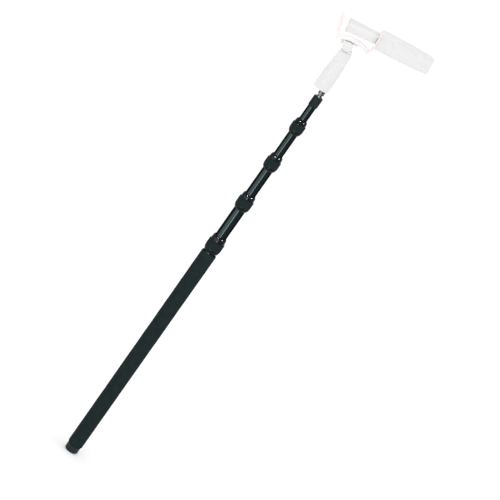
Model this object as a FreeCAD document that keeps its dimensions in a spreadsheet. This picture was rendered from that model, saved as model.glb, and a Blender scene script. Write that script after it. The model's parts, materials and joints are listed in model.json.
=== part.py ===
"""Telescopic microphone boom pole with a microphone head, as a parametric solid model.

Five tubes telescope along +Z, each clamped to the next by a twist lock, and each stands a little way out of
the one outside it.  The origin is the centre of the butt's bottom face.  A hand grip screws onto the
pole's tip and carries a tilting shoe, an elastic cradle and a microphone that points along +X with its nose
a little raised.  Lengths are in millimetres.
"""

import FreeCAD, Part
import math
import os
import re

import Sketcher

Vector = FreeCAD.Vector

SIZES = (
    # butt and foam grip
    ("cap_radius", 17.9), ("cap_bottom", 0.3), ("cap_height", 19.0), ("cap_round", 4.0),
    ("cap_floor", 7.0), ("pad_radius", 13.0), ("pad_height", 2.2), ("pad_round", 0.25),
    ("cap_boss_radius", 9.9), ("cap_boss_top", 23.0), ("plug_bore", 10.0), ("plug_bottom", 9.0),
    ("plug_length", 26.0), ("tube_foot", 8.0), ("foam_radius", 19.7), ("foam_bottom", 20.0),
    ("foam_top", 631.5), ("foam_round", 2.0),
    # tubes: each is one step slimmer than the tube it slides in
    ("tube_radius", 16.1), ("tube_step", 1.5), ("tube_wall", 1.2), ("tube_head", 8.8),
    ("slide_gap", 0.05), ("reach", 630.0), ("reach_step", 8.0), ("guide_flange", 12.0),
    ("guide_stem", 18.0), ("guide_bore", 4.5),
    # twist locks, numbered from the butt: each is one step smaller than the last
    ("lock_seat", 634.5), ("lock_radius", 20.8), ("lock_radius_step", 1.2), ("lock_length", 46.5),
    ("lock_length_step", 2.2), ("shoulder_drop", 4.4), ("shoulder_height", 8.6),
    ("shoulder_curve", 14.0), ("rim_inset", 0.5), ("rim_bevel", 0.5), ("nut_bottom", 9.0),
    ("sleeve_depth", 1.2), ("sleeve_bottom", 10.2), ("sleeve_share", 0.68), ("sleeve_round", 0.7),
    ("neck_drop", 2.0), ("neck_foot", 1.6), ("neck_taper", 0.7), ("crown_height", 5.5),
    ("crown_curve", 6.5), ("mouth_gap", 0.4), ("mouth_rim", 0.8), ("thread_height", 2.2),
    ("thread_gap", 0.1), ("ferrule_top", 24.0), ("collet_bottom", 10.0), ("collet_top", 29.5),
    ("cone_small", 1.25), ("cone_large", 2.3), ("cone_gap", 0.1), ("cone_rim", 0.8),
    ("collet_tip", 1.0), ("collet_slot", 1.2), ("collet_slot_length", 13.0), ("collet_slots", 6),
    # how far each section stands out of the last, and the tip
    ("out_second", 83.5), ("out_third", 75.5), ("out_fourth", 65.0), ("out_fifth", 40.0),
    ("tip_radius", 11.8), ("tip_length", 27.0), ("tip_bevel", 1.0), ("tip_cap", 3.5),
    ("insert_foot", 4.0), ("boss_radius", 7.0), ("boss_height", 3.0), ("stud_radius", 4.76),
    ("stud_length", 27.0), ("stud_bevel", 0.8), ("thread_pitch", 1.5875), ("thread_depth", 0.6),
    ("thread_turns", 15), ("thread_mouth", 1.43), ("jam_radius", 7.7), ("jam_height", 11.5),
    ("jam_gap", 3.8), ("jam_bevel", 0.6), ("jam_notches", 20), ("jam_notch", 0.9),
    ("jam_notch_depth", 0.6), ("jam_rim", 1.5), ("notch_clear", 1),
    # hand grip, set back from the pole's axis
    ("grip_setback", 8.0), ("grip_start", 18.5), ("grip_base", 5.0), ("grip_base_radius", 19.2),
    ("grip_base_bevel", 1.5), ("insert_radius", 7.0), ("insert_bore", 4.81), ("insert_length", 15.5),
    ("stud_relief", 5.3), ("relief_length", 21.5), ("grip_length", 104.5), ("grip_wide", 19.9),
    ("grip_narrow", 15.4), ("grip_shoulder", 38.5), ("grip_waist", 73.5), ("grip_waist_taper", 2.4),
    ("grip_crown", 5.0), ("grip_crown_curve", 4.0), ("grip_skin", 3.4), ("grip_lip", 0.6),
    ("grip_lip_height", 2.5),
    # knuckle: fork, bolt, knob and the tongue that tilts in the fork
    ("pivot_setback", 13.0), ("nose_lift", 7.4), ("fork_radius", 12.4), ("fork_base", 3.5),
    ("pivot_height", 11.7), ("ear_inner", 7.0), ("ear_thick", 5.5), ("ear_radius", 8.2),
    ("ear_foot", 21), ("ear_drop", 1), ("tongue_gap", 0.2), ("hub_gap", 0.5), ("bolt_radius", 3.0),
    ("bolt_head", 5.5), ("bolt_head_thick", 3.0), ("knob_radius", 12.5), ("knob_thick", 8.0),
    ("knob_gap", 0.2), ("knob_cone", 2.0), ("knob_bevel", 1.2), ("knob_flutes", 16),
    ("neck_length", 14.0),
    # accessory shoe and the cradle's foot
    ("shoe_forward", 3.0), ("shoe_rise", 8.6), ("shoe_length", 34.0), ("shoe_plate", 40.0),
    ("skirt_length", 6.0), ("shoe_width", 24.0), ("shoe_thick", 2.2), ("rail_height", 1.8),
    ("rail_lip", 0.8), ("wall_width", 3.4), ("lip_width", 6.0), ("shoe_gap", 0.1),
    ("foot_length", 18.0), ("foot_thick", 1.5), ("stem_radius", 4.5), ("stem_sink", 0.5),
    ("ring_radius", 8.0), ("ring_thick", 1.8), ("ring_bevel", 0.4), ("ring_notches", 24),
    ("ring_notch", 0.9), ("ring_notch_depth", 0.7),
    # cradle: a plate arched along and across, edged with two rails that rise at both ends
    ("cradle_forward", 8.0), ("cradle_rise", 17.0), ("cradle_half", 39.7), ("cradle_edge", 92.0),
    ("cradle_half_width", 20.25), ("cradle_crown", 1.5), ("crown_radius", 137.44),
    ("cradle_thick", 2.5), ("rail_radius", 1.7), ("rail_offset", 22.0), ("rear_lean", 12.7),
    ("rear_rise", 47.8), ("rear_flare", 0.2), ("knee_lean", 8.7), ("knee_rise", 16.3),
    ("knee_flare", 3.5), ("front_lean", 1.0), ("front_rise", 38.5), ("front_flare", 5.5),
    ("band_radius", 1.1), ("band_gap", 0.9),
    # microphone: a case that droops to the rear, and a barrel along the head's own axis
    ("mic_height", 45.9), ("case_front", 53.0), ("case_droop", 2.3), ("case_length", 74.0),
    ("case_rear_radius", 17.2), ("case_front_radius", 14.2), ("case_wall", 1.6),
    ("case_front_wall", 12.0), ("case_round", 1.6), ("case_edge", 1.0), ("peg_rear", 66.0),
    ("peg_front", 8.0), ("peg_radius", 1.8), ("peg_length", 3.0), ("peg_root", 1.2),
    ("switch_at", 40.0), ("switch_length", 7.0), ("switch_width", 5.0), ("switch_height", 2.6),
    ("switch_sink", 1.3), ("switch_travel", 3.0), ("switch_gap", 0.4), ("rear_cap_thick", 3.0),
    ("rear_cap_inset", 2.2), ("rear_cap_curve", 1.8), ("rear_cap_edge", 1.4),
    ("rear_cap_spigot", 4.0), ("spigot_taper", 0.2), ("jack_radius", 3.6), ("jack_bore", 1.8),
    ("jack_length", 14.0), ("jack_end", 2.0), ("cell_radius", 7.1), ("cell_length", 44.0),
    ("cell_at", 57.0), ("cell_drop", 3.4), ("cell_edge", 0.7), ("cell_nub_radius", 2.6),
    ("cell_nub", 1.5), ("board_length", 42.0), ("board_width", 18.0), ("board_thick", 1.6),
    ("board_at", 38.0), ("board_rise", 5.0), ("barrel_radius", 10.9), ("barrel_flange", 0.1),
    ("barrel_bore", 9.6), ("barrel_sink", 12.0), ("barrel_length", 135.0), ("barrel_end", 1.5),
    ("slot_width", 1.8), ("slot_length", 9.0), ("slot_start", 24.0), ("slot_run", 98.0),
    ("slots_along", 8), ("slots_around", 4), ("capsule_radius", 9.5), ("capsule_at", 8.0),
    ("capsule_length", 12.0), ("capsule_rim", 1.5), ("shield_gap", 1.2), ("shield_length", 138.0),
    ("shield_wide", 25.0), ("shield_narrow", 20.9), ("shield_lip", 4.0), ("shield_lip_curve", 4.5),
    ("shield_straight", 70.0), ("shield_taper_curve", 520.0), ("shield_nose", 5.0),
    ("shield_nose_curve", 5.5), ("shield_bore", 11.0), ("shield_end_gap", 1.0),
)

doc = FreeCAD.newDocument("MicrophoneBoomPole")
sheet = doc.addObject("Spreadsheet::Sheet", "Sizes")
for row, (alias, size) in enumerate(SIZES, start=1):
    sheet.set(f"A{row}", alias)
    sheet.set(f"B{row}", str(size))
    sheet.setAlias(f"B{row}", alias)
doc.recompute()

aliases = {alias for alias, _ in SIZES}
sub_parts = []


# ---- working with the sheet ------------------------------------------------------------------------
def value(formula):
    """What a formula in the sheet's aliases comes to."""
    return sheet.evalExpression(formula)


def bound(formula):
    """The same formula as another object writes it, with the sheet's name before each alias."""
    return re.sub(r"[a-z_]+", lambda word: f"Sizes.{word[0]}" if word[0] in aliases else word[0], formula)


def bind(thing, **formulas):
    for name, formula in formulas.items():
        thing.setExpression(name, bound(formula))


# ---- frames: a placement formula is a point and a turn, in the row's frame or in a frame of the head ---
UPRIGHT = "vector(0; 0; 1); 0"
ALONG_X = "vector(0; 1; 0); 90"
ALONG_Y = "vector(1; 0; 0); -90"
AGAINST_Y = "vector(1; 0; 0); 90"


def placed(x="0", y="0", z="0", turn=UPRIGHT, frame=None):
    own = f"placement(vector({x}; {y}; {z}); rotation({turn}))"
    return f"{frame} * {own}" if frame else own


def tube_r(section):
    """Outer radius of a section's tube; the handle section is number 1."""
    return f"(tube_radius - {section - 1} * tube_step)"


def lock_r(lock):
    return f"(lock_radius - {lock - 1} * lock_radius_step)"


def lock_l(lock):
    return f"(lock_length - {lock - 1} * lock_length_step)"


OUT_AT_REST = {2: "out_second", 3: "out_third", 4: "out_fourth", 5: "out_fifth"}


def seat(section):
    """Height at which a section's lock begins, or the tip sleeve of the last section."""
    terms = ["lock_seat"]
    for inner in range(2, section + 1):
        terms += [lock_l(inner - 1), OUT_AT_REST[inner]]
    return "(" + " + ".join(terms) + ")"


TIP_Z = seat(5)
BOSS_Z = f"({TIP_Z} + tip_length + boss_height)"
GRIP_Z = f"({TIP_Z} + tip_length + grip_start)"
KNUCKLE_Z = f"({GRIP_Z} + grip_base + grip_length)"
PIVOT_Z = f"({KNUCKLE_Z} + pivot_height)"
GRIP_X = "(0 - grip_setback)"
PIVOT_X = "(0 - pivot_setback)"

# the tilting head's frame: origin on the pivot, x along the microphone, z up from it
HEAD = placed(PIVOT_X, "0", PIVOT_Z, turn="vector(0; 1; 0); 0 - nose_lift")
# the case's frame: origin at the middle of its front end, x along its axis
CASE = placed("case_front", "0", "mic_height", turn="vector(0; 1; 0); 0 - case_droop", frame=HEAD)
RING_Z = "(shoe_rise + shoe_thick + rail_height + rail_lip + 2 * shoe_gap)"
FOOT_Z = "(shoe_rise + shoe_thick + shoe_gap)"


# ---- making sub-parts ------------------------------------------------------------------------------
def keep(thing, label):
    """Marks a document object as a sub-part, which is written to its own file."""
    thing.Label = label
    sub_parts.append(thing)
    return thing


def origin_feature(body, role):
    return next(feature for feature in body.Origin.OriginFeatures if feature.Role == role)


def fix_point(sketch, geometry, end, point):
    """Holds one end of a sketch line at a point that the sheet works out."""
    for kind, axis, formula in (("DistanceX", -2, point[0]), ("DistanceY", -1, point[1])):
        if abs(value(formula)) < 1e-9:
            sketch.addConstraint(Sketcher.Constraint("PointOnObject", geometry, end, axis))
            continue
        number = sketch.addConstraint(Sketcher.Constraint(kind, -1, 1, geometry, end, value(formula)))
        sketch.setExpression(f"Constraints[{number}]", bound(formula))


def outline(sketch, points):
    """A closed outline of (x, y) points. A point (x, y, radius) starts an arc to the next point, which
    bulges to the right of its direction, or to the left if the radius is negative. A sketch counts an
    arc's ends counterclockwise, so an arc that bulges to the left begins at its second end."""
    count = len(points)
    corners = [Vector(value(point[0]), value(point[1]), 0) for point in points]
    first_end = [2 if len(point) == 3 and value(point[2]) < 0 else 1 for point in points]
    for i, point in enumerate(points):
        start, end = corners[i], corners[(i + 1) % count]
        if len(point) == 2:
            sketch.addGeometry(Part.LineSegment(start, end))
        else:
            chord, radius = end - start, abs(value(point[2]))
            side = math.copysign(1.0, value(point[2]))
            rise = radius - math.sqrt(radius**2 - (chord.Length / 2) ** 2)
            out = Vector(chord.y, -chord.x, 0).normalize() * side
            sketch.addGeometry(Part.Arc(start, (start + end) / 2 + out * rise, end))
    for i, point in enumerate(points):
        following = (i + 1) % count
        fix_point(sketch, i, first_end[i], point)
        sketch.addConstraint(
            Sketcher.Constraint("Coincident", i, 3 - first_end[i], following, first_end[following]))
        if len(point) == 3:
            number = sketch.addConstraint(Sketcher.Constraint("Radius", i, abs(value(point[2]))))
            sketch.setExpression(f"Constraints[{number}]", bound(f"abs({point[2]})"))


def new_sketch(body, role, name, points):
    sketch = body.newObject("Sketcher::SketchObject", name)
    sketch.AttachmentSupport = (origin_feature(body, role), [""])
    sketch.MapMode = "FlatFace"
    outline(sketch, points)
    return sketch


def turned_body(name, points, placement=placed()):
    """A lathe-turned body: an outline of (radius, height) points, revolved about the body's own Z."""
    body = doc.addObject("PartDesign::Body", name)
    sketch = new_sketch(body, "XZ_Plane", "Outline", points)
    turn = body.newObject("PartDesign::Revolution", "Turn")
    turn.Profile = sketch
    turn.ReferenceAxis = (sketch, ["V_Axis"])
    turn.Angle = 360.0
    bind(body, Placement=placement)
    body.recompute(True)
    return body


def turned(label, points, placement=placed()):
    """A turned body that is a sub-part by itself."""
    return keep(turned_body(label, points, placement), label)


def ring(label, outer, inner, height, placement=placed()):
    """A plain tube or bush that is a sub-part by itself."""
    return turned(label, [(inner, "0"), (outer, "0"), (outer, height), (inner, height)], placement)


def dress(body, kind, size, edges):
    """Rounds (Fillet) or bevels (Chamfer) a turned body's round edges, each given as (radius, height)."""
    wanted = [(value(radius), value(height)) for radius, height in edges]
    base, names = body.Tip, []
    for number, edge in enumerate(base.Shape.Edges, start=1):
        if not isinstance(edge.Curve, Part.Circle):
            continue
        found = edge.Curve.Radius, edge.Curve.Center.z
        if any(math.dist(found, sought) < 0.01 for sought in wanted):
            names.append(f"Edge{number}")
    assert len(names) == len(wanted), f"{body.Label}: {len(names)} edges found of {len(wanted)}"
    feature = body.newObject(f"PartDesign::{kind}", kind)
    feature.Base = (base, names)
    bind(feature, **{"Radius" if kind == "Fillet" else "Size": size})
    body.recompute(True)


def pocket_at(body, points, start, length):
    """Cuts an outline, drawn on the XY plane, upwards from a height."""
    before = body.Shape.Volume
    sketch = new_sketch(body, "XY_Plane", "CutOutline", points)
    sketch.setExpression("AttachmentOffset.Base.z", bound(start))
    pocket = body.newObject("PartDesign::Pocket", "CutOut")
    pocket.Profile = sketch
    pocket.Reversed = True
    bind(pocket, Length=length)
    body.recompute(True)
    assert body.Shape.Volume < before, f"{body.Label}: the pocket cut nothing"
    return pocket


def round_pattern(body, name, count):
    pattern = body.newObject("PartDesign::PolarPattern", name)
    pattern.Axis = (origin_feature(body, "Z_Axis"), [""])
    pattern.Angle = 360.0
    bind(pattern, Occurrences=count)
    return pattern


def notch_round(body, points, start, length, count):
    """Cuts one notch and repeats it round the body's Z."""
    pattern = round_pattern(body, "Notches", count)
    pattern.Originals = [pocket_at(body, points, start, length)]
    body.Tip = pattern


def vee(radius, depth, half):
    """Outline of a V notch in a rim of that radius."""
    outside = f"{radius} + notch_clear"
    return [(f"{radius} - {depth}", "0"), (outside, f"0 - {half}"), (outside, half)]


def solid(kind, name, placement=placed(), **formulas):
    """A Part primitive whose sizes and placement are bound to the sheet."""
    thing = doc.addObject(f"Part::{kind}", name)
    bind(thing, Placement=placement, **formulas)
    return thing


def block(name, length, width, height, x, z, y="0", frame=None):
    """A box centred on (x, y) that stands on z."""
    corner = placed(f"{x} - ({length}) / 2", f"{y} - ({width}) / 2", z, frame=frame)
    return solid("Box", name, corner, Length=length, Width=width, Height=height)


def cross_pin(name, radius, start, length, x="0", z="0", frame=None):
    """A cylinder along +Y from y = start."""
    return solid("Cylinder", name, placed(x, start, z, ALONG_Y, frame), Radius=radius, Height=length)


def joined(name, shapes):
    thing = doc.addObject("Part::MultiFuse", name)
    thing.Shapes = shapes
    thing.Refine = True
    return thing


def cut(name, base, tool):
    thing = doc.addObject("Part::Cut", name)
    thing.Base, thing.Tool = base, tool
    return thing


# ---- pole ------------------------------------------------------------------------------------------
def make_butt():
    """Screw-in butt cap with a rubber pad let into its face, and the plug that it screws into."""
    bore = "tube_radius + slide_gap"
    cap = turned("butt_cap", [
        ("0", "pad_height"), ("pad_radius", "pad_height"), ("pad_radius", "cap_bottom"),
        ("cap_radius", "cap_bottom"), ("cap_radius", "cap_height"), (bore, "cap_height"),
        (bore, "cap_floor"), ("cap_boss_radius", "cap_floor"),
        ("cap_boss_radius", "cap_boss_top"), ("0", "cap_boss_top")])
    dress(cap, "Fillet", "cap_round", [("cap_radius", "cap_bottom")])
    pad = turned("butt_pad", [
        ("0", "0"), ("pad_radius", "0"), ("pad_radius", "pad_height"), ("0", "pad_height")])
    dress(pad, "Fillet", "pad_round", [("pad_radius", "0")])
    ring("butt_plug", "tube_radius - tube_wall", "plug_bore", "plug_length", placed(z="plug_bottom"))


def make_handle_section():
    """Base tube in its foam grip."""
    ring("base_tube", "tube_radius", "tube_radius - tube_wall", "lock_seat + tube_head - tube_foot",
         placed(z="tube_foot"))
    height = "foam_top - foam_bottom"
    foam = ring("foam_grip", "foam_radius", "tube_radius", height, placed(z="foam_bottom"))
    dress(foam, "Fillet", "foam_round", [("foam_radius", "0"), ("foam_radius", height)])


def make_section(section):
    """A sliding tube, and the guide plug in its lower end, which runs in the tube outside it."""
    outer, bore = tube_r(section), f"{tube_r(section)} - tube_wall"
    runner = f"{tube_r(section - 1)} - tube_wall - slide_gap"
    reach = f"(reach + {section - 2} * reach_step)"
    head = "tube_head" if section < 5 else "(tip_length - tip_cap)"
    ring(f"tube_{section}", outer, bore, f"{reach} - guide_flange + {head}",
         placed(z=f"{seat(section)} - {reach} + guide_flange"))
    top = "guide_flange + guide_stem"
    turned(f"guide_plug_{section}", [
        ("guide_bore", "0"), (runner, "0"), (runner, "guide_flange"), (bore, "guide_flange"), (bore, top),
        ("guide_bore", top)], placed(z=f"{seat(section)} - {reach}"))


def make_lock(lock):
    """A twist lock: fixed ferrule, split collet, turning nut and the nut's rubber sleeve."""
    outer, inner, radius, length = tube_r(lock), tube_r(lock + 1), lock_r(lock), lock_l(lock)
    base = placed(z=seat(lock))
    rim, stem = f"{radius} - rim_inset", f"{outer} + thread_height"
    cone_foot = f"{inner} + cone_small + cone_gap"
    turned(f"ferrule_{lock}", [
        (outer, "0"), (f"{radius} - shoulder_drop", "0", "shoulder_curve"),
        (rim, "shoulder_height - rim_bevel"), (f"{rim} - rim_bevel", "shoulder_height"),
        (stem, "shoulder_height"), (stem, "ferrule_top"),
        (f"{inner} + cone_large + cone_gap", "ferrule_top"), (cone_foot, "collet_bottom"),
        (cone_foot, "tube_head"), (outer, "tube_head")], base)

    collet = turned(f"collet_{lock}", [
        (f"{inner} + slide_gap", "0"), (f"{inner} + cone_small", "0"),
        (f"{inner} + cone_large", "ferrule_top - collet_bottom"),
        (f"{inner} + cone_large", "ferrule_top - collet_bottom + cone_rim"),
        (f"{inner} + collet_tip", "collet_top - collet_bottom"),
        (f"{inner} + slide_gap", "collet_top - collet_bottom")],
        placed(z=f"{seat(lock)} + collet_bottom"))
    slot_in, slot_out = f"{inner} - thread_height", f"{inner} + thread_height + cone_large"
    notch_round(collet, [
        (slot_in, "0 - collet_slot / 2"), (slot_out, "0 - collet_slot / 2"),
        (slot_out, "collet_slot / 2"), (slot_in, "collet_slot / 2")],
        "0", "collet_slot_length", "collet_slots")

    step, core, nut_bore = f"sleeve_share * {length}", f"{radius} - sleeve_depth", f"{stem} + thread_gap"
    neck, mouth = f"{radius} - neck_drop", f"{inner} + mouth_gap"
    press = "ferrule_top + rim_bevel + thread_gap"
    turned(f"lock_nut_{lock}", [
        (nut_bore, "nut_bottom"), (rim, "nut_bottom"), (rim, "sleeve_bottom"), (core, "sleeve_bottom"),
        (core, step), (f"{neck} + rim_inset", step), (neck, f"{step} + neck_foot"),
        (f"{neck} - neck_taper", f"{length} - crown_height", "crown_curve"),
        (f"{mouth} + mouth_rim", length), (mouth, length), (mouth, "collet_top + thread_gap"),
        (f"{inner} + collet_tip + cone_gap", "collet_top + thread_gap"),
        (f"{inner} + cone_large + cone_gap", press), (nut_bore, press)], base)

    height = f"{step} - sleeve_bottom"
    sleeve = ring(f"lock_sleeve_{lock}", radius, core, height,
                  placed(z=f"{seat(lock)} + sleeve_bottom"))
    dress(sleeve, "Fillet", "sleeve_round", [(radius, "0"), (radius, height)])


def make_tip():
    """Tip sleeve, the metal insert with its threaded stud, and the knurled jam nut on the stud."""
    sleeve = ring("tip_sleeve", "tip_radius", tube_r(5), "tip_length", placed(z=TIP_Z))
    dress(sleeve, "Chamfer", "tip_bevel", [("tip_radius", "0"), ("tip_radius", "tip_length")])

    outer, bore, end = tube_r(5), f"{tube_r(5)} - tube_wall", "tip_length - tip_cap"
    boss, stud_end = "tip_length + boss_height", "tip_length + boss_height + stud_length"
    insert = turned("tip_insert", [
        ("0", "insert_foot"), (bore, "insert_foot"), (bore, end), (outer, end), (outer, "tip_length"),
        ("boss_radius", "tip_length"), ("boss_radius", boss), ("stud_radius", boss),
        ("stud_radius", stud_end), ("0", stud_end)], placed(z=TIP_Z))
    dress(insert, "Chamfer", "stud_bevel", [("stud_radius", stud_end)])
    before = insert.Shape.Volume
    root = f"{boss} + thread_pitch / 2"
    sketch = new_sketch(insert, "XZ_Plane", "ThreadOutline", [
        ("stud_radius - thread_depth", root),
        ("stud_radius + thread_depth", f"{root} - thread_mouth / 2"),
        ("stud_radius + thread_depth", f"{root} + thread_mouth / 2")])
    groove = insert.newObject("PartDesign::Groove", "ThreadGroove")
    groove.Profile = sketch
    groove.ReferenceAxis = (sketch, ["V_Axis"])
    groove.Angle = 360.0
    insert.recompute(True)
    thread = insert.newObject("PartDesign::LinearPattern", "Thread")
    thread.Originals = [groove]
    thread.Direction = (origin_feature(insert, "Z_Axis"), [""])
    bind(thread, Length="thread_pitch * thread_turns", Occurrences="thread_turns + 1")
    insert.Tip = thread
    insert.recompute(True)
    assert insert.Shape.Volume < before, "the thread cut nothing"

    nut = ring("jam_nut", "jam_radius", "stud_radius + slide_gap", "jam_height",
               placed(z=f"{BOSS_Z} + jam_gap"))
    dress(nut, "Chamfer", "jam_bevel", [("jam_radius", "0"), ("jam_radius", "jam_height")])
    notch_round(nut, vee("jam_radius", "jam_notch_depth", "jam_notch"),
                "jam_rim", "jam_height - 2 * jam_rim", "jam_notches")


# ---- hand grip and knuckle -------------------------------------------------------------------------
def make_hand_grip():
    """Rubber-covered grip: base plate, threaded insert, plastic core and rubber sleeve."""
    hole = solid("Cylinder", "InsertHole", placed(z=GRIP_Z),
                 Radius="insert_radius", Height="insert_length")
    relief = solid("Cylinder", "StudRelief", placed(z=GRIP_Z),
                   Radius="stud_relief", Height="relief_length")
    socket = joined("InsertSocket", [hole, relief])
    base = turned_body("GripBaseBlank", [
        ("0", "0"), ("grip_base_radius - grip_base_bevel", "0"), ("grip_base_radius", "grip_base_bevel"),
        ("grip_base_radius", "grip_base"), ("0", "grip_base")], placed(GRIP_X, z=GRIP_Z))
    keep(cut("GripBase", base, socket), "grip_base")
    ring("thread_insert", "insert_radius", "insert_bore", "insert_length", placed(z=GRIP_Z))

    core_wide, core_waist = "grip_wide - grip_skin", "grip_wide - grip_skin - grip_waist_taper"
    core_narrow, crown = "grip_narrow - grip_skin", "grip_length - grip_crown"
    foot = placed(GRIP_X, z=f"{GRIP_Z} + grip_base")
    core = turned_body("GripCoreBlank", [
        ("0", "0"), (core_wide, "0"), (core_wide, "grip_shoulder"), (core_waist, "grip_waist"),
        (core_narrow, crown), (core_narrow, "grip_length"), ("0", "grip_length")], foot)
    keep(cut("GripCore", core, socket), "grip_core")
    sleeve_top = "grip_length - grip_crown / 2"
    turned("grip_sleeve", [
        (core_wide, "0"), ("grip_wide - grip_lip", "0"), ("grip_wide", "grip_lip_height"),
        ("grip_wide", "grip_shoulder"), ("grip_wide - grip_waist_taper", "grip_waist"),
        ("grip_narrow", crown, "grip_crown_curve"), ("grip_narrow - grip_skin / 2", sleeve_top),
        (core_narrow, sleeve_top), (core_narrow, crown), (core_waist, "grip_waist"),
        (core_wide, "grip_shoulder")], foot)


def make_fork():
    """Fork on the grip, and the bolt and hand knob that clamp it on the tongue."""
    pieces = [solid("Cylinder", "ForkDisc", placed(GRIP_X, z=KNUCKLE_Z),
                    Radius="fork_radius", Height="fork_base")]
    for start in ("0 - ear_inner - ear_thick", "ear_inner"):
        pieces.append(block("EarFoot", "ear_foot", "ear_thick", "pivot_height - fork_base - ear_drop",
                            PIVOT_X, f"{KNUCKLE_Z} + fork_base", y=f"{start} + ear_thick / 2"))
        pieces.append(cross_pin("Ear", "ear_radius", start, "ear_thick", PIVOT_X, PIVOT_Z))
    ear_out = "(ear_inner + ear_thick)"
    hole = cross_pin("ForkHole", "bolt_radius", f"0 - 2 * {ear_out}", f"4 * {ear_out}", PIVOT_X, PIVOT_Z)
    keep(cut("Fork", joined("ForkBlank", pieces), hole), "knuckle_fork")

    shank = cross_pin("BoltShank", "bolt_radius", f"0 - {ear_out} - knob_thick",
                      f"2 * {ear_out} + knob_thick", PIVOT_X, PIVOT_Z)
    head = cross_pin("BoltHead", "bolt_head", ear_out, "bolt_head_thick", PIVOT_X, PIVOT_Z)
    keep(joined("Bolt", [shank, head]), "tilt_bolt")

    bore = "bolt_radius + slide_gap"
    knob = turned("tilt_knob", [
        (bore, "0"), ("bolt_head", "0"), ("knob_radius", "knob_cone"),
        ("knob_radius", "knob_thick - knob_bevel"), ("knob_radius - knob_bevel", "knob_thick"),
        (bore, "knob_thick")],
        placed(PIVOT_X, f"0 - {ear_out} - knob_gap", PIVOT_Z, AGAINST_Y))
    notch_round(knob, vee("knob_radius", "knob_bevel", "knob_cone"), "0", "knob_thick", "knob_flutes")


def make_tongue():
    """Tongue that tilts in the fork, in one piece with the accessory shoe."""
    half = "(ear_inner - tongue_gap)"
    pieces = [cross_pin("TongueHub", "ear_radius - hub_gap", f"0 - {half}", f"2 * {half}", frame=HEAD),
              block("TongueNeck", "neck_length", f"2 * {half}", "shoe_rise", "0", "0", frame=HEAD),
              block("ShoePlate", "shoe_plate", "shoe_width", "shoe_thick", "0", "shoe_rise", frame=HEAD),
              block("ShoeSkirt", "skirt_length", "shoe_width", "shoe_rise",
                    "(skirt_length - shoe_plate) / 2", "0", frame=HEAD)]
    for side in (-1, 1):
        pieces.append(block("ShoeWall", "shoe_length", "wall_width", "rail_height", "shoe_forward",
                            "shoe_rise + shoe_thick", f"{side} * (shoe_width - wall_width) / 2", HEAD))
        pieces.append(block("ShoeLip", "shoe_length", "lip_width", "rail_lip", "shoe_forward",
                            "shoe_rise + shoe_thick + rail_height",
                            f"{side} * (shoe_width - lip_width) / 2", HEAD))
    bore = cross_pin("TongueBore", "bolt_radius + slide_gap", "0 - shoe_width", "2 * shoe_width",
                     frame=HEAD)
    keep(cut("Tongue", joined("TongueBlank", pieces), bore), "tilt_tongue")


# ---- cradle ----------------------------------------------------------------------------------------
def make_cradle_plate():
    """Plate arched along its length and across it, on a stem and a foot that slides in the shoe."""
    arch = doc.addObject("PartDesign::Body", "ArchBody")
    low, high = "cradle_edge - cradle_thick / 2", "cradle_edge + cradle_thick / 2"
    sketch = new_sketch(arch, "YZ_Plane", "CrossSection", [
        ("0 - cradle_half_width", low, "0 - crown_radius"), ("cradle_half_width", low),
        ("cradle_half_width", high, "crown_radius"), ("0 - cradle_half_width", high)])
    sweep = arch.newObject("PartDesign::Revolution", "ArchSweep")
    sweep.Profile = sketch
    sweep.ReferenceAxis = (sketch, ["H_Axis"])
    sweep.Midplane = True
    bind(sweep, Angle="2 * asin(cradle_half / cradle_edge)")
    bind(arch, Placement=placed("cradle_forward", z="cradle_rise - cradle_edge", frame=HEAD))
    foot = block("Foot", "foot_length", "shoe_width - 2 * wall_width - 4 * shoe_gap", "foot_thick",
                 "0", FOOT_Z, frame=HEAD)
    stem = solid("Cylinder", "FootStem", placed(z=FOOT_Z, frame=HEAD), Radius="stem_radius",
                 Height=f"cradle_rise + cradle_crown - stem_sink - {FOOT_Z}")
    keep(joined("Cradle", [arch, foot, stem]), "cradle_plate")

    clamp = ring("shoe_ring", "ring_radius", "stem_radius + slide_gap", "ring_thick",
                 placed(z=RING_Z, frame=HEAD))
    dress(clamp, "Chamfer", "ring_bevel", [("ring_radius", "0"), ("ring_radius", "ring_thick")])
    notch_round(clamp, vee("ring_radius", "ring_notch_depth", "ring_notch"),
                "0", "ring_thick", "ring_notches")


def rod(start, end, radius):
    """A round rod between two points, with ball ends."""
    along = end - start
    shape = Part.makeCylinder(radius, along.Length, start, along)
    return shape.fuse([Part.makeSphere(radius, start), Part.makeSphere(radius, end)])


def rail_points(side):
    """One rail's rear tip, rear corner, front corner, knee and front tip, in the head's frame."""
    edge, half = value("cradle_edge"), value("cradle_half")
    corner_z = value("cradle_rise") - edge + math.sqrt(edge**2 - half**2)
    middle, y = value("cradle_forward"), side * value("rail_offset")
    rear, front = Vector(middle - half, y, corner_z), Vector(middle + half, y, corner_z)
    rear_tip = rear + Vector(-value("rear_lean"), side * value("rear_flare"), value("rear_rise"))
    knee = front + Vector(value("knee_lean"), side * value("knee_flare"), value("knee_rise"))
    front_tip = knee + Vector(value("front_lean"), side * value("front_flare"), value("front_rise"))
    return rear_tip, rear, front, knee, front_tip


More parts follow.
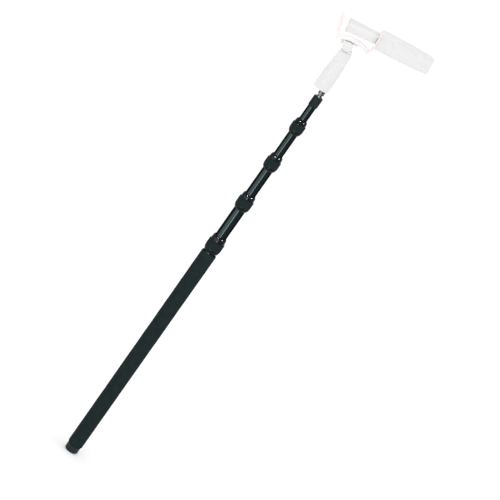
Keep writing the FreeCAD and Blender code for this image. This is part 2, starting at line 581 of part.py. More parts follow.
def make_rails():
    """Two rails along the plate's edges, which rise in arms at both ends."""
    radius = value("rail_radius")
    rails = []
    for side in (-1, 1):
        rear_tip, rear, front, knee, front_tip = rail_points(side)
        crest = Vector(value("cradle_forward"), rear.y, value("cradle_rise"))
        curve = Part.Arc(rear, crest, front)
        section = Part.Wire([Part.Circle(rear, curve.tangent(curve.FirstParameter)[0], radius).toShape()])
        rail = Part.Wire([curve.toShape()]).makePipeShell([section], True, True)
        arms = [rod(rear, rear_tip, radius), rod(front, knee, radius), rod(knee, front_tip, radius)]
        rails.append(rail.fuse(arms).removeSplitter())
    thing = doc.addObject("Part::Feature", "Rails")
    thing.Shape = Part.makeCompound(rails)
    thing.Placement = value(HEAD)
    keep(thing, "cradle_rails")


def case_radius(along):
    """Outer radius of the case at that distance behind its front end."""
    slope = "(case_rear_radius - case_front_radius) / case_length"
    return f"(case_front_radius + {slope} * {along})"


def make_bands():
    """Elastic bands from the rails' tips to the case's pegs, drawn as plain cords."""
    to_head = value(HEAD).inverse().multiply(value(CASE))
    bands = []
    for side in (-1, 1):
        points = rail_points(side)
        for tip, along in ((points[0], "peg_rear"), (points[4], "peg_front")):
            reach = value(f"{case_radius(along)} + peg_length / 2")
            peg = to_head.multVec(Vector(-value(along), side * reach, 0))
            end = peg - (peg - tip).normalize() * value("peg_radius + band_gap")
            bands.append(Part.makeCylinder(value("band_radius"), (end - tip).Length, tip, end - tip))
    thing = doc.addObject("Part::Feature", "Bands")
    thing.Shape = Part.makeCompound(bands)
    thing.Placement = value(HEAD)
    keep(thing, "suspension_bands")


# ---- microphone ------------------------------------------------------------------------------------
def make_case():
    """Tapered case with four pegs and a switch recess, and the switch that slides in it."""
    rear, length = "case_rear_radius", "case_length"
    inner_front = "case_length - case_front_wall"
    shell = turned_body("CaseShell", [
        ("case_rear_radius - case_wall", "0"), (f"{rear} - case_edge", "0", "case_round"),
        (rear, "case_edge"), ("case_front_radius", f"{length} - case_edge"),
        ("case_front_radius - case_edge", length), ("0", length), ("0", inner_front),
        ("case_front_radius - case_wall", inner_front)],
        placed("0 - case_length", turn=ALONG_X, frame=CASE))
    pegs = []
    for along in ("peg_rear", "peg_front"):
        reach = f"({case_radius(along)} + peg_length)"
        for start in (f"0 - {reach}", f"{reach} - peg_length - peg_root"):
            pegs.append(cross_pin("Peg", "peg_radius", start, "peg_length + peg_root", f"0 - {along}",
                                  frame=CASE))
    depth = f"{case_radius('switch_at')} - switch_sink"
    recess = block("SwitchRecess", "switch_length + 2 * switch_travel + switch_gap", "2 * switch_height",
                   "switch_width + switch_gap", "0 - switch_at", "0 - (switch_width + switch_gap) / 2",
                   f"{depth} + switch_height", CASE)
    seat_start = placed("case_front - case_length / 2", z="mic_height", turn=ALONG_X, frame=HEAD)
    seat_hole = solid("Cylinder", "BarrelSeat", seat_start,
                      Radius="barrel_radius + barrel_flange", Height=length)
    tool = joined("CaseCuts", [recess, seat_hole])
    keep(cut("Case", joined("CaseBlank", [shell] + pegs), tool), "mic_case")
    switch = block("Switch", "switch_length", "switch_height", "switch_width", "0 - switch_at",
                   "0 - switch_width / 2", f"{depth} + slide_gap + switch_height / 2", CASE)
    keep(switch, "power_switch")


def make_case_contents():
    """Rear cap with the output jack, battery and circuit board."""
    rear = placed("0 - case_length - rear_cap_thick", turn=ALONG_X, frame=CASE)
    spigot = "case_rear_radius - case_wall - slide_gap"
    lip, deep = "rear_cap_thick - slide_gap", "rear_cap_thick + rear_cap_spigot"
    turned("mic_rear_cap", [
        ("jack_radius", "0"), ("case_rear_radius - rear_cap_inset", "0", "rear_cap_curve"),
        ("case_rear_radius - case_edge", "rear_cap_edge"), ("case_rear_radius - case_edge", lip),
        (spigot, lip), (f"{spigot} - spigot_taper", deep), ("jack_radius", deep)], rear)
    turned("output_jack", [
        ("jack_bore", "0"), ("jack_radius", "0"), ("jack_radius", "jack_length + jack_end"),
        ("0", "jack_length + jack_end"), ("0", "jack_length"), ("jack_bore", "jack_length")], rear)
    turned("battery_cell", [
        ("0", "0"), ("cell_radius - cell_edge", "0"), ("cell_radius", "cell_edge"),
        ("cell_radius", "cell_length - cell_nub"), ("cell_nub_radius", "cell_length - cell_nub"),
        ("cell_nub_radius", "cell_length"), ("0", "cell_length")],
        placed("0 - cell_at", z="0 - cell_drop", turn=ALONG_X, frame=CASE))
    board = block("Board", "board_length", "board_width", "board_thick", "0 - board_at", "board_rise",
                  frame=CASE)
    keep(board, "circuit_board")


def make_barrel():
    """Slotted interference tube, the capsule in its rear end, and the foam windshield over it."""
    start = "(case_front - barrel_sink)"
    outer, end = "barrel_radius", "barrel_length"
    flange, seat_length = "barrel_radius + barrel_flange", "barrel_sink / 2"
    barrel = turned("interference_tube", [
        ("barrel_bore", "0"), (flange, "0"), (flange, seat_length), (outer, seat_length), (outer, end),
        ("0", end), ("0", f"{end} - barrel_end"), ("barrel_bore", f"{end} - barrel_end")],
        placed(start, z="mic_height", turn=ALONG_X, frame=HEAD))
    inside, outside = "barrel_bore - slot_width", "barrel_radius + slot_width"
    slot = pocket_at(barrel, [
        (inside, "0 - slot_width / 2"), (outside, "0 - slot_width / 2"),
        (outside, "slot_width / 2"), (inside, "slot_width / 2")], "slot_start", "slot_length")
    row = barrel.newObject("PartDesign::LinearPattern", "SlotRow")
    row.Direction = (origin_feature(barrel, "Z_Axis"), [""])
    bind(row, Length="slot_run", Occurrences="slots_along")
    slots = barrel.newObject("PartDesign::MultiTransform", "Slots")
    slots.Originals = [slot]
    slots.Transformations = [row, round_pattern(barrel, "SlotRows", "slots_around")]
    barrel.Tip = slots

    rim = "capsule_radius - capsule_rim"
    turned("capsule", [
        ("0", "0"), ("capsule_radius", "0"), ("capsule_radius", "capsule_length"),
        (rim, "capsule_length"), (rim, "capsule_length - capsule_rim"),
        ("0", "capsule_length - capsule_rim")],
        placed(f"{start} + capsule_at", z="mic_height", turn=ALONG_X, frame=HEAD))

    length = "shield_length"
    depth = "(barrel_length - barrel_sink - shield_gap + shield_end_gap)"
    turned("foam_windshield", [
        ("shield_bore", "0"), ("shield_wide - shield_lip", "0", "shield_lip_curve"),
        ("shield_wide", "shield_lip"), ("shield_wide", "shield_straight", "shield_taper_curve"),
        ("shield_narrow", f"{length} - shield_nose", "shield_nose_curve"),
        ("shield_narrow - shield_nose", length), ("0", length), ("0", depth), ("shield_bore", depth)],
        placed("case_front + shield_gap", z="mic_height", turn=ALONG_X, frame=HEAD))


def check_and_write():
    """Stops on any failed object, then writes each sub-part to its own file."""
    doc.recompute()
    failed = [thing.Label for thing in doc.Objects if {"Invalid", "Error"} & set(thing.State)]
    assert not failed, f"failed objects: {failed}"
    os.makedirs("parts", exist_ok=True)
    for thing in sub_parts:
        shape = thing.Shape
        assert not shape.isNull() and shape.isValid(), f"{thing.Label} has no valid shape"
        volumes = [piece.Volume for piece in shape.Solids]
        assert volumes and min(volumes) > 0, f"{thing.Label} has no solid"
        shape.exportStep(f"parts/{thing.Label}.step")
    print(f"{len(sub_parts)} sub-parts; pivot at {value(PIVOT_Z):.2f} mm")


make_butt()
make_handle_section()
for number in (2, 3, 4, 5):
    make_section(number)
for number in (1, 2, 3, 4):
    make_lock(number)
make_tip()
make_hand_grip()
make_fork()
make_tongue()
make_cradle_plate()
make_rails()
make_bands()
make_case()
make_case_contents()
make_barrel()
check_and_write()
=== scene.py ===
"""The looks of a telescopic microphone boom pole: materials, foam, grips, bands, light and camera."""

import json
import math

import bpy
from mathutils import Matrix, Vector, noise


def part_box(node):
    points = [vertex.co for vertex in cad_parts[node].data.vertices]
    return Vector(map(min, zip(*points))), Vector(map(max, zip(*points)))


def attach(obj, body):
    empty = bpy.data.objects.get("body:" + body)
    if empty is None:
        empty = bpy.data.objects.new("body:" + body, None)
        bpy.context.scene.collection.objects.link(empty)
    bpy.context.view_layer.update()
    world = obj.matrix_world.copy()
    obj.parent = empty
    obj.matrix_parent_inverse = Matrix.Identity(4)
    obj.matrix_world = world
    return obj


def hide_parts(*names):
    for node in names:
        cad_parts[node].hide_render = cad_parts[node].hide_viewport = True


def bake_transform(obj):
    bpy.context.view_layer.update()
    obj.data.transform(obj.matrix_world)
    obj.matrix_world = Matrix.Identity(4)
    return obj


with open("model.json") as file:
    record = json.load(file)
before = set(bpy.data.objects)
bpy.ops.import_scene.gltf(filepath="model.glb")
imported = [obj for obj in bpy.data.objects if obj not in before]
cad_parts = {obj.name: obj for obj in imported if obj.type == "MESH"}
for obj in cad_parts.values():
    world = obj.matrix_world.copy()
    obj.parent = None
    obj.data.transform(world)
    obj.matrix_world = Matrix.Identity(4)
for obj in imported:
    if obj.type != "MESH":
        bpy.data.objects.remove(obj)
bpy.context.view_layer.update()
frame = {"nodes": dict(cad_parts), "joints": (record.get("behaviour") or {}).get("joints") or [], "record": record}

MM = 0.001
JOINTS = {joint["name"]: joint for joint in frame["joints"]}
NODES = frame["nodes"]

# ---- camera, lights and floor ------------------------------------------------------------------------
CAMERA_TARGET = Vector((0.0759, 0.0, 0.6952))
CAMERA_DISTANCE = 4.885
CAMERA_AZIMUTH = math.radians(-1.263)
CAMERA_ELEVATION = math.radians(16.87)
CAMERA_ROLL = math.radians(35.37)
CAMERA_LENS = 146.66
CAMERA_SENSOR = 36.0
CAMERA_REACH = 400.0
FLOOR_HALF = 60.0
FLOOR_DROP = 0.0004
FLOOR_GLOW = 0.12
WHITE = (1.0, 1.0, 1.0, 1.0)

# name: (level faced, azimuth and elevation in degrees, distance, width, height, radiance, sheen only)
SOFTBOXES = {
    "key": (0.8, -35, 45, 3.2, 1.2, 1.2, 1.0, False),
    "strip_near": (0.42, -2, 0, 1.3, 0.16, 0.9, 30.0, True),
    "strip_wide": (0.42, -38, 0, 1.5, 1.6, 0.9, 3.7, True),
    "glint_left": (0.85, -24, 34, 2.4, 0.45, 0.6, 480.0, True),
    "glint_right": (0.85, 62, 30, 2.4, 0.45, 0.6, 480.0, True),
}


def link(thing):
    bpy.context.scene.collection.objects.link(thing)
    return thing


def facing(position, back, roll=0.0):
    """A pose at a position that looks against the direction back, turned about it by roll."""
    level = Vector((0, 0, 1)).cross(back).normalized()
    upward = back.cross(level)
    right = level * math.cos(roll) + upward * math.sin(roll)
    upward = back.cross(right)
    return Matrix.Translation(position) @ Matrix((right, upward, back)).transposed().to_4x4()


def around(target, azimuth, elevation, distance):
    """The point at that azimuth and elevation from a target, and the direction to it."""
    flat = math.cos(elevation)
    out = Vector((math.sin(azimuth) * flat, -math.cos(azimuth) * flat, math.sin(elevation)))
    return target + out * distance, out


def make_camera():
    data = bpy.data.cameras.new("camera")
    data.sensor_width = CAMERA_SENSOR
    data.lens = CAMERA_LENS
    data.clip_end = CAMERA_REACH
    position, out = around(CAMERA_TARGET, CAMERA_AZIMUTH, CAMERA_ELEVATION, CAMERA_DISTANCE)
    camera = link(bpy.data.objects.new("camera", data))
    camera.matrix_world = facing(position, out, CAMERA_ROLL)
    bpy.context.scene.camera = camera


def softbox(name, level, azimuth, elevation, distance, width, height, radiance, sheen_only):
    """A rectangular light that faces the pole's axis at a level. Its power follows from how bright its face
    is. A light for sheen only is one that shiny pieces mirror and that doesn't brighten the rest."""
    data = bpy.data.lights.new(name, "AREA")
    data.shape = "RECTANGLE"
    data.size, data.size_y = width, height
    data.energy = radiance * math.pi * width * height
    target = Vector((0, 0, level))
    position, out = around(target, math.radians(azimuth), math.radians(elevation), distance)
    lamp = link(bpy.data.objects.new(name, data))
    lamp.matrix_world = facing(position, out)
    lamp.visible_camera = False
    lamp.visible_diffuse = not sheen_only


def make_studio():
    """A white studio, with a key light and lights that only the shiny pieces show."""
    bpy.context.scene.view_settings.view_transform = "Standard"
    world = bpy.data.worlds.new("studio")
    world.use_nodes = True
    background = world.node_tree.nodes["Background"]
    background.inputs["Color"].default_value = WHITE
    background.inputs["Strength"].default_value = 1.0
    bpy.context.scene.world = world
    for name, settings in SOFTBOXES.items():
        softbox(name, *settings)


# ---- materials ---------------------------------------------------------------------------------------
NOISE_LOW, NOISE_HIGH = 0.3, 0.7
WORN_FROM, WORN_TO, WORN_SHADE = 0.52, 0.6, 2.4


def new_node(tree, kind, settings=(), **sockets):
    """A shader node, with settings of its own and values on its input sockets."""
    made = tree.nodes.new(f"ShaderNode{kind}")
    for name, setting in dict(settings).items():
        setattr(made, name, setting)
    for name, number in sockets.items():
        made.inputs[name.replace("_", " ")].default_value = number
    return made


def colour_mix(tree):
    """A colour Mix node, with its two colour inputs and its colour output."""
    made = new_node(tree, "Mix", {"data_type": "RGBA"})
    first, second = [socket for socket in made.inputs if socket.type == "RGBA"]
    return made, first, second, next(socket for socket in made.outputs if socket.type == "RGBA")


def shade(colour, share):
    """A colour with its brightness multiplied, as RGBA."""
    return tuple(min(1.0, part * share) for part in colour) + (1.0,)


def spread(tree, source, low, high):
    """Maps a noise, which stays near the middle of 0 to 1, onto low to high."""
    mapped = new_node(tree, "MapRange", From_Min=NOISE_LOW, From_Max=NOISE_HIGH, To_Min=low, To_Max=high)
    tree.links.new(source, mapped.inputs["Value"])
    return mapped.outputs["Result"]


def surface(name, colour, rough, metallic=0.0, specular=0.5, tint=0.1, tint_scale=45.0, grain=0.00004,
            grain_scale=1400.0, stretch=(1.0, 1.0, 1.0), rough_spread=0.06, coat=0.0, cells=False,
            worn=0.0, edge_tint=None):
    """A procedural finish: mottled colour, uneven gloss, a fine grain or cells, and paler worn edges. tint
    is how far the colour varies, grain the bump's depth in metres, and worn how rubbed the edges are."""
    material = bpy.data.materials.new(name)
    material.use_nodes = True
    tree = material.node_tree
    shader = tree.nodes["Principled BSDF"]
    shader.inputs["Metallic"].default_value = metallic
    shader.inputs["Specular IOR Level"].default_value = specular
    shader.inputs["Coat Weight"].default_value = coat
    if edge_tint:
        shader.inputs["Specular Tint"].default_value = edge_tint + (1.0,)

    place = new_node(tree, "TexCoord").outputs["Object"]
    stretched = new_node(tree, "Mapping", Scale=stretch)
    tree.links.new(place, stretched.inputs["Vector"])

    mottle = new_node(tree, "TexNoise", Scale=tint_scale, Detail=5.0, Roughness=0.6)
    blend, dark, light, base = colour_mix(tree)
    dark.default_value = shade(colour, 1.0 - tint)
    light.default_value = shade(colour, 1.0 + tint)
    tree.links.new(stretched.outputs["Vector"], mottle.inputs["Vector"])
    tree.links.new(spread(tree, mottle.outputs["Fac"], 0.0, 1.0), blend.inputs["Factor"])

    if worn:
        edge = new_node(tree, "NewGeometry").outputs["Pointiness"]
        rub = new_node(tree, "MapRange", From_Min=WORN_FROM, From_Max=WORN_TO, To_Min=0.0, To_Max=worn)
        over, whole, rubbed, result = colour_mix(tree)
        rubbed.default_value = shade(colour, WORN_SHADE)
        tree.links.new(edge, rub.inputs["Value"])
        tree.links.new(rub.outputs["Result"], over.inputs["Factor"])
        tree.links.new(base, whole)
        base = result
    tree.links.new(base, shader.inputs["Base Color"])

    uneven = new_node(tree, "TexNoise", Scale=tint_scale * 3.1, Detail=3.0)
    tree.links.new(stretched.outputs["Vector"], uneven.inputs["Vector"])
    tree.links.new(spread(tree, uneven.outputs["Fac"], rough - rough_spread, rough + rough_spread),
                   shader.inputs["Roughness"])

    if cells:
        fine = new_node(tree, "TexVoronoi", Scale=grain_scale)
        height = fine.outputs["Distance"]
    else:
        fine = new_node(tree, "TexNoise", Scale=grain_scale, Detail=2.0)
        height = fine.outputs["Fac"]
    tree.links.new(stretched.outputs["Vector"], fine.inputs["Vector"])
    bump = new_node(tree, "Bump", Strength=1.0, Distance=grain)
    tree.links.new(height, bump.inputs["Height"])
    tree.links.new(bump.outputs["Normal"], shader.inputs["Normal"])
    return material


INK = (0.0102, 0.0192, 0.0202)
PALE = (0.79, 0.79, 0.79)

MATERIALS = {
    "tube": surface("tube", (0.0125, 0.0172, 0.018), 0.12, metallic=1.0, specular=0.2, tint=0.1,
                    stretch=(1.0, 1.0, 0.03), grain=0.000003, grain_scale=900.0, rough_spread=0.04,
                    edge_tint=(0.02, 0.03, 0.03)),
    "grip_foam": surface("grip_foam", INK, 0.95, specular=0.03, tint=0.18, tint_scale=60.0,
                         grain=0.0003, grain_scale=1300.0, cells=True),
    "butt_plastic": surface("butt_plastic", (0.007, 0.0135, 0.0145), 0.25, specular=0.16, worn=0.4),
    "rubber": surface("rubber", (0.009, 0.011, 0.011), 0.75, specular=0.12, grain=0.0001),
    "collar_plastic": surface("collar_plastic", (0.0034, 0.007, 0.0076), 0.1, specular=0.1, grain=0.000003,
                              rough_spread=0.02, worn=0.2),
    "collar_rubber": surface("collar_rubber", (0.0115, 0.021, 0.022), 0.8, specular=0.02, grain=0.00008,
                             grain_scale=1800.0, worn=0.2),
    "guide_plastic": surface("guide_plastic", (0.72, 0.72, 0.68), 0.45),
    "tip_plastic": surface("tip_plastic", (0.0062, 0.0115, 0.0125), 0.45, specular=0.04, grain=0.00003,
                           worn=0.4),
    # Painted shade: this polished metal's base colour is kept dark to stand in for dark surroundings mirrored in
    # it, which the white studio lacks; the metal itself is paler.
    "polished_metal": surface("polished_metal", (0.09, 0.094, 0.092), 0.12, metallic=1.0, tint=0.06,
                              grain=0.000006, grain_scale=700.0, rough_spread=0.04,
                              edge_tint=(0.5, 0.5, 0.5)),
    "brass": surface("brass", (0.72, 0.52, 0.22), 0.3, metallic=1.0),
    "pale_plastic": surface("pale_plastic", PALE, 0.5, specular=0.06, tint=0.015, grain=0.00003),
    "pale_rubber": surface("pale_rubber", PALE, 0.7, specular=0.05, tint=0.02, grain=0.00006,
                           grain_scale=1800.0),
    "white_plastic": surface("white_plastic", (0.97, 0.97, 0.97), 0.22, tint=0.01, grain=0.00001, coat=0.2),
    "pink_rail": surface("pink_rail", (0.93, 0.79, 0.785), 0.4, specular=0.1, tint=0.03, grain=0.00002),
    "elastic": surface("elastic", (0.9, 0.85, 0.85), 0.7, specular=0.1, tint=0.05, grain=0.0001,
                       grain_scale=2500.0),
    "pale_metal": surface("pale_metal", PALE, 0.45, specular=0.06, tint=0.015, grain=0.00002),
    "nickel": surface("nickel", (0.66, 0.65, 0.62), 0.25, metallic=1.0, tint=0.05),
    "cell_wrap": surface("cell_wrap", (0.55, 0.56, 0.58), 0.3, coat=0.3),
    "board": surface("board", (0.03, 0.16, 0.07), 0.4, coat=0.3),
    "windshield_foam": surface("windshield_foam", (0.865, 0.865, 0.865), 0.95, specular=0.05, tint=0.03,
                               tint_scale=90.0, grain=0.0006, grain_scale=950.0, cells=True),
}
SLOT_OF_NODE = {part["node"]: part["material_slot"] for part in frame["record"]["subparts"]}


def dress(piece, slot):
    piece.data.materials.clear()
    piece.data.materials.append(MATERIALS[slot])


def dress_frame():
    for name, piece in NODES.items():
        dress(piece, SLOT_OF_NODE[name])


# ---- frames of the head ------------------------------------------------------------------------------
def frame_at(point, along):
    """A pose at a point, with x along a direction in the XZ plane, y across and z up from it."""
    along = Vector(along).normalized()
    across = Vector((0, 1, 0))
    turn = Matrix((along, across, along.cross(across))).transposed().to_4x4()
    return Matrix.Translation(point) @ turn


X_TO_Z = Matrix.Rotation(math.radians(90), 4, "Y")
HEAD = frame_at(JOINTS["head_tilt"]["pos_m"], JOINTS["windshield_slide"]["axis"])
CASE = frame_at(JOINTS["rear_cap_turn"]["pos_m"], JOINTS["switch_slide"]["axis"])


def own_points(node, pose):
    """A CAD node's corners in a frame of its own."""
    back = pose.inverted()
    return [back @ vertex.co for vertex in NODES[node].data.vertices]


def along_mic():
    """A frame whose z is the barrel's axis, from the tilt pivot's station."""
    heights = [point.z for point in own_points("interference_tube", HEAD)]
    return HEAD @ Matrix.Translation((0, 0, (min(heights) + max(heights)) / 2)) @ X_TO_Z


def outer_profile(node, pose):
    """(height, radius) corners of the outside of a turned CAD node that has no hollow in its outline."""
    widest = {}
    for point in own_points(node, pose):
        height = round(point.z, 5)
        widest[height] = max(widest.get(height, 0.0), point.xy.length)
    hull = []
    for height, radius in sorted(widest.items()):
        while len(hull) > 1:
            (z0, r0), (z1, r1) = hull[-2:]
            if (r1 - r0) * (height - z0) > (radius - r0) * (z1 - z0):
                break
            hull.pop()
        hull.append((height, radius))
    return hull


def radius_on(profile, height):
    """The outside's radius at a height between two of its corners."""
    for (z0, r0), (z1, r1) in zip(profile, profile[1:]):
        if z0 <= height <= z1:
            return r0 + (r1 - r0) * (height - z0) / (z1 - z0)
    return profile[0][1] if height < profile[0][0] else profile[-1][1]


# ---- making pieces -----------------------------------------------------------------------------------
def new_piece(name, vertices, faces, slot, body, smooth=True):
    mesh = bpy.data.meshes.new(name)
    mesh.from_pydata(vertices, [], faces)
    mesh.validate()
    if smooth:
        mesh.shade_smooth()
    piece = link(bpy.data.objects.new(name, mesh))
    dress(piece, slot)
    if body:
        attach(piece, body)
    return piece


def lathe(name, outline, slot, body, pose=Matrix(), segments=96, ripple=None):
    """Turns a closed (radius, height) outline about the pose's z. ripple(angle, radius, height) moves a
    point outwards."""
    vertices, faces = [], []
    rows = len(outline)
    for radius, height in outline:
        for step in range(segments):
            angle = 2 * math.pi * step / segments
            reach = radius + (ripple(angle, radius, height) if ripple else 0.0)
            vertices.append(pose @ Vector((reach * math.cos(angle), reach * math.sin(angle), height)))
    for row in range(rows):
        after = (row + 1) % rows
        for step in range(segments):
            turn = (step + 1) % segments
            faces.append((row * segments + step, row * segments + turn,
                          after * segments + turn, after * segments + step))
    return new_piece(name, vertices, faces, slot, body)


def bend(centre_r, centre_z, radius, start, end, steps=8):
    """Points of a rounded corner between two angles in degrees."""
    points = []
    for step in range(steps + 1):
        angle = math.radians(start + (end - start) * step / steps)
        points.append((centre_r + radius * math.cos(angle), centre_z + radius * math.sin(angle)))
    return points


def flute(angle, count, depth):
    """How far the nearest of so many flutes draws the surface in at an angle."""
    return -depth * (0.5 - 0.5 * math.cos(angle * count)) ** 2


def run(start, end, step):
    """Points from start up to but not including end, about a step apart."""
    (r0, z0), (r1, z1) = start, end
    count = max(1, round(math.hypot(r1 - r0, z1 - z0) / step))
    return [(r0 + (r1 - r0) * i / count, z0 + (z1 - z0) * i / count) for i in range(count)]


def pores(depth, scale, lump=0.0, lump_scale=30.0):
    """A foam skin: small pores, and slow lumps where it is stretched unevenly."""
    def move(angle, radius, height):
        point = Vector((radius * math.cos(angle), radius * math.sin(angle), height))
        return -depth * abs(noise.noise(point * scale)) + lump * noise.noise(point * lump_scale)
    return move


# ---- pole --------------------------------------------------------------------------------------------
def make_foam_grip():
    """Foam sleeve with soft rounded ends and a faintly uneven, porous skin."""
    low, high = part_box("foam_grip")
    outer = high.x
    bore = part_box("base_tube")[1].x + 0.05 * MM
    lip = 3.0 * MM
    outline = [(bore, low.z)] + bend(outer - lip, low.z + lip, lip, -90, 0)
    outline += run((outer, low.z + lip + MM), (outer, high.z - lip), 1.6 * MM)
    outline += bend(outer - lip, high.z - lip, lip, 0, 90) + [(bore, high.z)]
    skin = pores(0.35 * MM, 900.0, 0.22 * MM, 34.0)

    def ripple(angle, radius, height):
        return skin(angle, radius, height) if radius > bore + MM else 0.0

    piece = lathe("foam_grip_skin", outline, "grip_foam", "handle", segments=128, ripple=ripple)
    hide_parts("foam_grip")


def make_lock_sleeve(number):
    """Rubber sleeve of a twist lock, with fine flutes that fade out at its rounded ends."""
    node = f"lock_sleeve_{number}"
    low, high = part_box(node)
    outer = high.x
    inner = outer - 1.15 * MM
    lip, flutes, depth, fading = 0.9 * MM, 36, 0.75 * MM, 1.2 * MM
    middle, half = (low.z + high.z) / 2, (high.z - low.z) / 2 - 1.4 * MM
    outline = [(inner, low.z + 0.1 * MM)] + bend(outer - lip, low.z + lip, lip, -90, 0, 5)
    outline += run((outer, low.z + lip + 0.4 * MM), (outer, high.z - lip), 0.7 * MM)
    outline += bend(outer - lip, high.z - lip, lip, 0, 90, 5) + [(inner, high.z - 0.1 * MM)]

    def ripple(angle, radius, height):
        if radius < outer - 0.1 * MM:
            return 0.0
        fade = max(0.0, min(1.0, (half - abs(height - middle)) / fading))
        return fade * flute(angle, flutes, depth)

    piece = lathe(f"lock_grip_{number}", outline, "collar_rubber", f"lock_{number}",
                  segments=flutes * 8, ripple=ripple)
    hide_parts(node)


# ---- head --------------------------------------------------------------------------------------------
def make_windshield():
    """Foam windshield: parallel for half its length, then a slow taper to a rounded nose."""
    pose = along_mic()
    profile = outer_profile("foam_windshield", pose)
    start, end = profile[0][0], profile[-1][0]
    depth = outer_profile("interference_tube", pose)[-1][0] + 0.8 * MM
    bore, lip, nose, dimple = 11.0 * MM, 4.2 * MM, 5.2 * MM, 0.4 * MM
    wide = radius_on(profile, start + 2 * lip)
    outline = run((bore, start), (wide - lip, start), 1.5 * MM)
    outline += bend(wide - lip, start + lip, lip, -90, 0)
    steps = 84
    for step in range(1, steps + 1):
        height = start + lip + (end - nose - start - lip) * step / steps
        outline.append((radius_on(profile, height), height))
    narrow = outline[-1][0]
    outline += bend(narrow - nose, end - nose, nose, 8, 90)
    outline += run((narrow - nose - 1.2 * MM, end), (dimple, end), 1.5 * MM)
    outline += [(dimple, end), (dimple, depth), (bore, depth)]
    skin = pores(0.55 * MM, 620.0, 0.3 * MM, 45.0)

    def ripple(angle, radius, height):
        return skin(angle, radius, height) if radius > bore + 1.5 * MM else 0.0

    piece = lathe("windshield_skin", outline, "windshield_foam", "windshield", pose, 128, ripple)
    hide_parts("foam_windshield")


def make_grip():
    """Soft grip sleeve with shallow rings in its middle, over the same taper as its core."""
    low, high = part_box("grip_sleeve")
    pose = Matrix.Translation(((low.x + high.x) / 2, 0, 0))
    profile = outer_profile("grip_sleeve", pose)
    inner = 3.3 * MM
    ring_low, ring_high, pitch, depth = low.z + 18 * MM, low.z + 84 * MM, 5.5 * MM, 0.55 * MM
    outline = []
    height = low.z
    while height < high.z:
        radius = radius_on(profile, height)
        if ring_low < height < ring_high:
            radius -= depth * max(0.0, math.cos(2 * math.pi * (height - ring_low) / pitch)) ** 4
        outline.append((radius, height))
        height += 0.5 * MM
    outline.append((radius_on(profile, high.z), high.z))
    inside = [(radius - inner, height) for radius, height in (outline[-1], outline[0])]
    piece = lathe("grip_skin", outline + inside, "pale_rubber", "hand_grip", pose, 96)
    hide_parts("grip_sleeve")


# Each pair of arms' direction from its foot up, with y outwards.
ARMS = {"rear": Vector((-12.7, 0.2, 47.8)), "front": Vector((1.0, 5.5, 38.5))}
BAND_THICK = 0.9 * MM
RAIL_RADIUS = 1.7 * MM
PEG_RADIUS = 1.8 * MM
BAND_GAP = 0.9 * MM
HOLD_BELOW_TIP = 2.2 * MM
BALL_RADIUS = 2.9 * MM
BALL_FOOT = 1.6 * MM


def z_to(direction):
    """A turn that takes z onto a direction."""
    return Vector((0, 0, 1)).rotation_difference(direction).to_matrix().to_4x4()


def half_turn(centre, side, far, reach):
    """Points of a half circle about a centre, from side through far to the other side."""
    return [centre + (side * math.cos(angle) + far * math.sin(angle)) * reach
            for angle in (math.pi * step / 8 for step in range(9))]


def loop_mesh(name, points, thick):
    """A round band along a closed smooth curve that the points hold."""
    curve = bpy.data.curves.new(name, "CURVE")
    curve.dimensions = "3D"
    curve.bevel_depth = thick
    curve.bevel_resolution = 4
    curve.resolution_u = 8
    spline = curve.splines.new("NURBS")
    spline.points.add(len(points) - 1)
    for control, point in zip(spline.points, points):
        control.co = (*point, 1.0)
    spline.order_u = 3
    spline.use_cyclic_u = True
    source = bpy.data.objects.new(name, curve)
    mesh = bpy.data.meshes.new_from_object(source)
    bpy.data.objects.remove(source)
    return [vertex.co.copy() for vertex in mesh.vertices], [tuple(face.vertices) for face in mesh.polygons]


def make_band(name, side, end, corners):
    """An elastic loop that lies round a rail's arm at one end and round a peg of the case at the other, and
    the arm's end ball. corners are the CAD band's own, in the head's frame."""
    middle = sum(abs(point.y) for point in corners) / len(corners)
    outer = [point for point in corners if abs(point.y) > middle]
    inner = [point for point in corners if abs(point.y) <= middle]
    tip = sum(outer, Vector()) / len(outer)
    near = sum(inner, Vector()) / len(inner)
    peg = near + (near - tip).normalized() * (PEG_RADIUS + BAND_GAP)
    arm = ARMS[end].copy()
    arm.y *= side
    arm.normalize()
    hold = tip - arm * HOLD_BELOW_TIP
    along = (peg - hold).normalized()
    across = along.cross(arm).normalized()
    back = across.cross(arm).normalized()
    if back.dot(along) > 0:
        back.negate()
    peg_out = (along - Vector((0, along.y, 0))).normalized()
    peg_side = Vector((0, 1, 0)).cross(peg_out)
    if peg_side.dot(across) < 0:
        peg_side.negate()
    points = half_turn(hold, across, back, RAIL_RADIUS + BAND_THICK)
    points += half_turn(peg, -peg_side, peg_out, PEG_RADIUS + BAND_THICK)
    vertices, faces = loop_mesh(name, points, BAND_THICK)
    piece = new_piece(name, [HEAD @ vertex for vertex in vertices], faces, "elastic", None)
    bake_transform(piece)
    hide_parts("suspension_bands")
    ball = [(0.02 * MM, -BALL_FOOT), (RAIL_RADIUS, -BALL_FOOT)]
    ball += bend(0.0, 0.0, BALL_RADIUS, -30, 89, 12)
    lathe(f"arm_end_{name}", ball, "pink_rail", "cradle", HEAD @ Matrix.Translation(tip) @ z_to(arm), 24)


def make_bands():
    """Four elastic loops that carry the microphone between the cradle's arms, and the arms' end balls."""
    corners = own_points("suspension_bands", HEAD)
    middle = sum(point.x for point in corners) / len(corners)
    for end, behind in (("rear", True), ("front", False)):
        for side, side_name in ((1, "left"), (-1, "right")):
            own = [point for point in corners if (point.x < middle) == behind and point.y * side > 0]
            make_band(f"band_{end}_{side_name}", side, end, own)


# ---- small parts -------------------------------------------------------------------------------------
CASE_LENGTH = 74.0 * MM
CASE_REAR = 17.2 * MM
CASE_FRONT = 14.2 * MM
CAP_THICK = 3.0 * MM


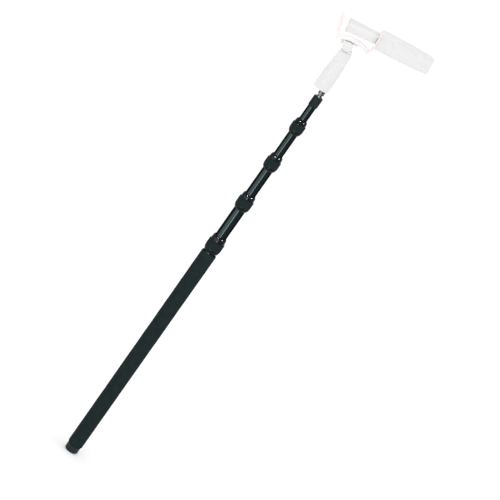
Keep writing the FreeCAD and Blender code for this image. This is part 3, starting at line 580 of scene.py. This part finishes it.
def case_radius(station):
    """The case's outer radius at a distance in front of its jack's mouth."""
    return CASE_REAR + (CASE_FRONT - CASE_REAR) * (station - CAP_THICK) / CASE_LENGTH


def collar(name, inner, outer, low, high, slot, body, pose, flutes=0, soft=0.4 * MM):
    """A ring with softened outer edges, fluted if it has to be turned by hand."""
    outline = [(inner, low)] + bend(outer - soft, low + soft, soft, -90, 0, 4)
    outline += bend(outer - soft, high - soft, soft, 0, 90, 4) + [(inner, high)]

    def ripple(angle, radius, height):
        return flute(angle, flutes, 0.35 * MM) if flutes and radius > outer - 0.6 * soft else 0.0

    return lathe(name, outline, slot, body, pose, max(64, flutes * 8), ripple)


def button(name, radius, rise, slot, body, pose):
    """A low dome that stands on the pose's origin, with its foot just below it."""
    outline = [(0.01 * MM, -0.4 * MM), (radius, -0.4 * MM), (radius, 0.0)]
    outline += [(radius * math.cos(turn), rise * math.sin(turn))
                for turn in (math.radians(step * 89 / 8) for step in range(1, 9))]
    return lathe(name, outline, slot, body, pose, 40)


def bar(name, low, high, slot, body, pose):
    """A plain bar between two corners."""
    corners = [pose @ Vector((x, y, z)) for z in (low[2], high[2])
               for x, y in ((low[0], low[1]), (high[0], low[1]), (high[0], high[1]), (low[0], high[1]))]
    faces = [(3, 2, 1, 0), (4, 5, 6, 7), (0, 1, 5, 4), (1, 2, 6, 5), (2, 3, 7, 6), (3, 0, 4, 7)]
    return new_piece(name, corners, faces, slot, body, smooth=False)


def make_mic_details():
    """Cap grip ring, front ring, a lamp and the switch's ribs on the microphone's case."""
    turned_case = CASE @ X_TO_Z
    cap_inner, cap_outer = CASE_REAR - 2.0 * MM, CASE_REAR - 0.25 * MM
    collar("rear_cap_grip", cap_inner, cap_outer, 1.5 * MM, CAP_THICK - 0.1 * MM, "pale_metal", "rear_cap",
           turned_case, flutes=44)
    ring_low = CAP_THICK + CASE_LENGTH - 9.0 * MM
    ring_high = ring_low + 4.0 * MM
    ring_outer = case_radius((ring_low + ring_high) / 2) + 0.7 * MM
    collar("case_front_ring", CASE_FRONT - 1.2 * MM, ring_outer, ring_low, ring_high, "pale_metal",
           "microphone", turned_case)

    switch = own_points("power_switch", CASE)
    low = [min(point[i] for point in switch) for i in range(3)]
    high = [max(point[i] for point in switch) for i in range(3)]
    ribs, thick = 5, 0.6 * MM
    for rib in range(ribs):
        middle = low[0] + (high[0] - low[0]) * (rib + 0.5) / ribs
        bar(f"switch_rib_{rib + 1}", (middle - thick / 2, low[1] + thick, high[2] - thick),
            (middle + thick / 2, high[1] - thick, high[2] + thick), "pale_plastic", "switch", CASE)

    lamp_station, lamp_radius, lamp_rise = high[0] + 9.0 * MM, 1.3 * MM, 0.8 * MM
    button("status_lamp", lamp_radius, lamp_rise, "nickel", "microphone",
           CASE @ Matrix.Translation((lamp_station, 0, case_radius(lamp_station))))


def make_knob_cap():
    """The low dome on the tilt knob's face."""
    knob = JOINTS["knob_turn"]
    pivot, outward = Vector(knob["pos_m"]), Vector(knob["axis"]).normalized()
    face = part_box("tilt_knob")[0].y
    button("knob_cap", 7.0 * MM, 1.1 * MM, "pale_plastic", "knob",
           Matrix.Translation((pivot.x, face, pivot.z)) @ z_to(outward))


def make_floor():
    """A wide pale floor just below the butt, which glows a little so that it comes out as white."""
    corners = [(x * FLOOR_HALF, y * FLOOR_HALF, -FLOOR_DROP)
               for x, y in ((-1, -1), (1, -1), (1, 1), (-1, 1))]
    mesh = bpy.data.meshes.new("floor")
    mesh.from_pydata(corners, [], [(0, 1, 2, 3)])
    floor = link(bpy.data.objects.new("floor", mesh))
    finish = surface("floor", (0.93, 0.93, 0.93), 0.8, specular=0.1, tint=0.01, tint_scale=3.0,
                     grain=0.00002)
    shader = finish.node_tree.nodes["Principled BSDF"]
    shader.inputs["Emission Color"].default_value = WHITE
    shader.inputs["Emission Strength"].default_value = FLOOR_GLOW
    floor.data.materials.append(finish)


make_camera()
make_studio()
dress_frame()
make_foam_grip()
for lock in (1, 2, 3, 4):
    make_lock_sleeve(lock)
make_windshield()
make_grip()
make_bands()
make_mic_details()
make_knob_cap()
make_floor()
